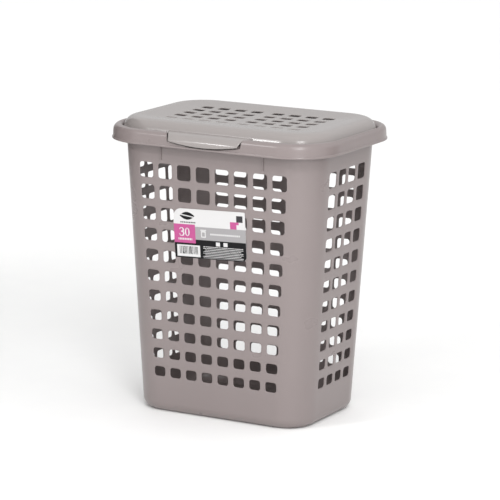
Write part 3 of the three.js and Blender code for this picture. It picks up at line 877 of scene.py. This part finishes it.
# the thumb tab's strip: distance behind the lip, height over the seat, and the inside's offset from there
TAB_ROOT = RIM[1] + TAB_REACH - LID[1]
TAB_SECTION = [(TAB_ROOT + 1.2, 8.6, 0.4, -2.0), (TAB_ROOT - 2.0, 8.6, 0.4, -2.0), (15.0, 8.1, 0.5, -2.0),
               (6.5, 5.4, 1.1, -1.7), (1.9, 1.0, 1.7, -1.1)]


def make_tab():
    """A bent strip that leaves the dome above its edge and hangs over the skirt, lower at its middle."""
    skin = Skin()
    edge, end_share = 0.01, 0.25                 # the ends are rounded over this share of width and thickness
    lip_round, lip_flat = 0.7, 0.5
    rings = []
    for along in [-1, -1 + edge, *np.linspace(-0.95, 0.95, 39), 1 - edge, 1]:
        lip = -(RIM[1] + TAB_REACH - TAB_DRAW_IN * along ** 2)
        low = -TAB_DROP + TAB_BELLY * along ** 2
        turn_down = (TAB_SECTION[-1][1] + low) / 2
        section = [*TAB_SECTION, (0.2, turn_down, 2.0, -0.3), (0.0, low, 2.0, 0.0)]
        outside = smooth_section([(lip + back, z) for back, z, _, _ in section], 4)
        inside = smooth_section([(lip + back + dy, z + dz) for back, z, dy, dz in section], 4)
        (y0, z0), (y1, z1) = outside[-1], inside[-1]
        outside[-1:] = [(y0, z0 + lip_round), (y0 + lip_flat, z0)]
        inside[-1:] = [(y1, z1 + lip_round), (y1 - lip_flat, z1)]
        thin = end_share if abs(along) == 1 else 0.0
        pairs = [(np.array(o), np.array(i)) for o, i in zip(outside, inside)]
        outline = [mix(o, i, thin) for o, i in pairs] + [mix(i, o, thin) for o, i in reversed(pairs)]
        rings.append(skin.add([(along * tab_half(-y), y, SEAT + z) for y, z in outline]))
    for near, far in zip(rings, rings[1:]):
        skin.strip(far, near)
    last = len(rings[0]) - 1
    for k in range(last // 2):
        skin.faces.append((rings[0][k], rings[0][k + 1], rings[0][last - k - 1], rings[0][last - k]))
        skin.faces.append((rings[-1][k + 1], rings[-1][k], rings[-1][last - k], rings[-1][last - k - 1]))
    return face_outward(skin.build("tab"))


def make_hook(place):
    """A hook open at the bottom, and the arm that carries it from the dome's edge."""
    bore, hook_wall, width = PIN_RADIUS + 0.4, 2.4, 26.0
    angles = [math.radians(mix(-15, 255, k / 28)) for k in range(29)]
    outer = bore + hook_wall
    claw = [(PIN_Y + outer * math.cos(a), PIN_Z + outer * math.sin(a)) for a in angles]
    claw += [(PIN_Y + bore * math.cos(a), PIN_Z + bore * math.sin(a)) for a in reversed(angles)]
    low, thick = LID_BOTTOM + 1.2, 3.0
    near, far = LID[1] - LID_THICK + 0.5, PIN_Y - bore - 1.0
    arm = [(near, low), (far, low), (far, low + thick), (near, low + thick)]
    return [prism("claw", claw, place, width, 0.5), prism("arm", arm, place, width, 0.4)]


lid = make_dome()
fuse(lid, [make_tab(), *make_hook(-HINGE), *make_hook(HINGE)])
lid.data.materials.clear()
# the lid is the same plastic as the basket, but its colour is set lighter: painted light, standing for the
# stronger light that falls on its top from above
lid.data.materials.append(moulded_plastic("lid_plastic", "#928c8a", "#8e8886", 0.2))
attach(lid, "cover")
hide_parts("lid")


# ---- label_card ----
# Card printed in pink, black and grey under a matt varnish, with one large rounded corner and one smaller.
# Dabs of clear glue hold its back to the bars of the front wall.
CARD = (124.0, 76.0, 0.6)
CARD_LEFT, CARD_MIDDLE, CARD_TURN, CARD_GAP = 4.5, 291.0, 2.4, 0.3
CARD_CORNERS = (1.5, 9.0, 1.5, 14.0)            # lower left, lower right, upper right, upper left
CARD_CELL = 0.5                                 # print is laid out on squares of this size

# each ink's colour where it lies thick and where it lies thin
INKS = {"white": ("#d0cfcf", "#c8c7c7"), "pink": ("#b5568a", "#ad4f82"), "black": ("#101012", "#161618"),
        "grey": ("#9d9b9c", "#959394"), "dark": ("#3a393c", "#343336")}
# the layout: left, top, right and bottom of each field and sign, from the card's upper left corner
FIGURE_FIELD, FIGURE_LINE = (0, 24, 37, 53), (7, 45.5, 31, 48.5)
GREY_FIELD, GREY_LINE = (37, 27, 124, 47), (62, 36, 114, 38.5)
BIN_BODY, BIN_HOLLOW, BIN_LID = (47, 33, 55, 43), (48.5, 35, 53.5, 41.5), (46, 31, 56, 32.5)
BAR_FIELD, BARS = (4, 56, 44, 74), (7, 58, 41, 70)
SQUARE_SIGNS = ((72, 49, 79, 55), (85, 49, 92, 55))
DARK_SQUARE, PINK_SQUARE, PINK_STEP = (109, 6, 120, 16), (98, 16, 109, 27), (109, 16, 113, 20)
MARK_LINE = (12, 20, 38, 22)
BLACK_TOP = GREY_FIELD[3]
WORD_BLOCK, WORD_PITCH, WORD_MIDDLE = (56.5, 74.5), 2.5, 84


def on_three(x, y):
    """Whether a point lies on a figure 3 that is about 8 mm wide and 13 mm high, round its middle."""
    for middle, radius in ((-3.1, 3.0), (2.6, 3.5)):
        out = math.hypot(x, (y - middle))
        open_side = x < -0.5 and (y - middle) * (1 if middle < 0 else -1) > -0.6
        if abs(out - radius) < 0.55 + 0.55 * max(x, 0) / radius and not open_side:
            return True
    return False


def on_zero(x, y):
    """The same for a figure 0, with thicker sides."""
    return math.hypot(x / 4.1, y / 6.3) < 1 and math.hypot(x / 2.1, y / 5.4) > 1


def in_box(x, y, box):
    left, top, right, bottom = box
    return left <= x < right and top <= y < bottom


def on_words(x, y):
    """Whether a point lies on the black field's block of centred lines, each broken into word-like bars."""
    down = y - (WORD_BLOCK[0] - 1.5)
    line = int(down // WORD_PITCH)
    half = 38 - 7 * abs(math.sin(line * 2.1 + 0.5))
    in_line = WORD_BLOCK[0] <= y < WORD_BLOCK[1] and down % WORD_PITCH > 1.5 and abs(x - WORD_MIDDLE) < half
    return in_line and (x * 1.3 + line * 3) % 5 < 4.1


def ink_at(x, y):
    """The ink at a point of the card, measured right and down from its upper left corner."""
    if in_box(x, y, FIGURE_FIELD):
        thirty = on_three(x - 13, y - 36) or on_zero(x - 23, y - 36)
        return "white" if thirty or in_box(x, y, FIGURE_LINE) and x % 3 < 2.1 else "pink"
    if in_box(x, y, GREY_FIELD):
        bin_sign = in_box(x, y, BIN_BODY) and not in_box(x, y, BIN_HOLLOW) or in_box(x, y, BIN_LID)
        return "white" if bin_sign or in_box(x, y, GREY_LINE) and x % 3.5 < 2.6 else "grey"
    if y >= BLACK_TOP:
        if in_box(x, y, BAR_FIELD):
            bars = in_box(x, y, BARS) and math.sin(x * 5.1) + math.sin(x * 2.3) > 0.2
            return "black" if bars else "white"
        return "white" if any(in_box(x, y, sign) for sign in SQUARE_SIGNS) or on_words(x, y) else "black"
    if in_box(x, y, DARK_SQUARE):
        return "dark"
    if in_box(x, y, PINK_SQUARE) or in_box(x, y, PINK_STEP):
        return "pink"
    # a plain leaf-shaped mark, split by a slanting line, over a line of small bars
    leaf = abs(y - 11) < 6.0 * max(0.0, 1 - ((x - 24) / 13) ** 2) and abs(y - 11 - (x - 24) * 0.15) > 0.8
    return "black" if leaf or in_box(x, y, MARK_LINE) and x % 3 < 2.2 else "white"


def printed(ink):
    """Matt-varnished ink on card: uneven cover over paper fibres about 1 mm long, and little glare."""
    material, tree, output = new_material("printed_" + ink)
    thick, thin = INKS[ink]
    place = add_node(tree, "ShaderNodeTexCoord").outputs["Object"]
    fibre = add_node(tree, "ShaderNodeTexNoise", {"Vector": place, "Scale": 1 / 0.001, "Detail": 3.0})
    cover = add_node(tree, "ShaderNodeMix", {
        "Factor": fibre.outputs["Fac"], "A": linear(thick), "B": linear(thin)}, data_type="RGBA")
    rough = add_node(tree, "ShaderNodeMapRange", {
        "Value": fibre.outputs["Fac"], "To Min": 0.26, "To Max": 0.34})
    bump = add_node(tree, "ShaderNodeBump", {
        "Height": fibre.outputs["Fac"], "Strength": 0.1, "Distance": 0.0001})
    coat = add_node(tree, "ShaderNodeBsdfPrincipled", {
        "Base Color": cover.outputs["Result"], "Roughness": rough.outputs["Result"],
        "Specular IOR Level": 0.15, "Normal": bump.outputs["Normal"]})
    tree.links.new(coat.outputs["BSDF"], output.inputs["Surface"])
    return material


def card_sides(down):
    """Left and right ends of the card at a distance below its upper edge."""
    width, height, _ = CARD
    lower_left, lower_right, upper_right, upper_left = CARD_CORNERS

    def bite(radius, gap):
        """How much a corner of that radius takes off at a gap from the card's edge."""
        return radius - math.sqrt(max(radius ** 2 - (radius - gap) ** 2, 0)) if gap < radius else 0.0
    left = max(bite(upper_left, down), bite(lower_left, height - down))
    right = max(bite(upper_right, down), bite(lower_right, height - down))
    return left, width - right


def make_card():
    """The card with one small face for each square of print, set against the leaning front wall."""
    skin = Skin()
    width, height, thick = CARD
    across, rows = int(width / CARD_CELL), int(height / CARD_CELL)
    back_set = 0.12                              # the cut edge's first mesh line, behind the print
    front, faces_at = [], {}
    for row in range(rows + 1):
        down = min(max(row * CARD_CELL, 0.05), height - 0.05)
        left, right = card_sides(down)
        front.append(skin.add([(mix(left, right, k / across) - width / 2, height / 2 - down, thick)
                               for k in range(across + 1)]))
    for row in range(rows):
        for k in range(across):
            face = (front[row][k], front[row + 1][k], front[row + 1][k + 1], front[row][k + 1])
            middle = np.mean([skin.points[i][:2] for i in face], axis=0)
            faces_at[len(skin.faces)] = ink_at(middle[0] + width / 2, height / 2 - middle[1])
            skin.faces.append(face)
    border = [line[0] for line in front] + front[-1][1:] + [line[-1] for line in front[-2::-1]]
    border += front[0][-2:0:-1]
    edge = skin.add([(skin.points[i][0], skin.points[i][1], thick - back_set) for i in border])
    rear = skin.add([(skin.points[i][0], skin.points[i][1], 0.0) for i in border])
    skin.strip(edge, border)
    skin.strip(rear, edge)
    skin.faces.append(tuple(reversed(rear)))
    card = skin.build("label_card", sharp=30)
    names = list(INKS)
    for name in names:
        card.data.materials.append(printed(name))
    for face in card.data.polygons:
        face.material_index = names.index(faces_at.get(face.index, "white"))
    turn = Matrix.Rotation(math.pi / 2 + math.atan(FRONT_DRAFT), 4, "X") @ Matrix.Rotation(
        math.radians(CARD_TURN), 4, "Z")
    place = Vector((-CARD_LEFT, -wall_outline(CARD_MIDDLE)[1] - CARD_GAP, CARD_MIDDLE)) * MM
    card.data.transform(Matrix.Translation(place) @ turn)
    return card


card = make_card()
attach(card, "tub")
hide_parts("label_card")
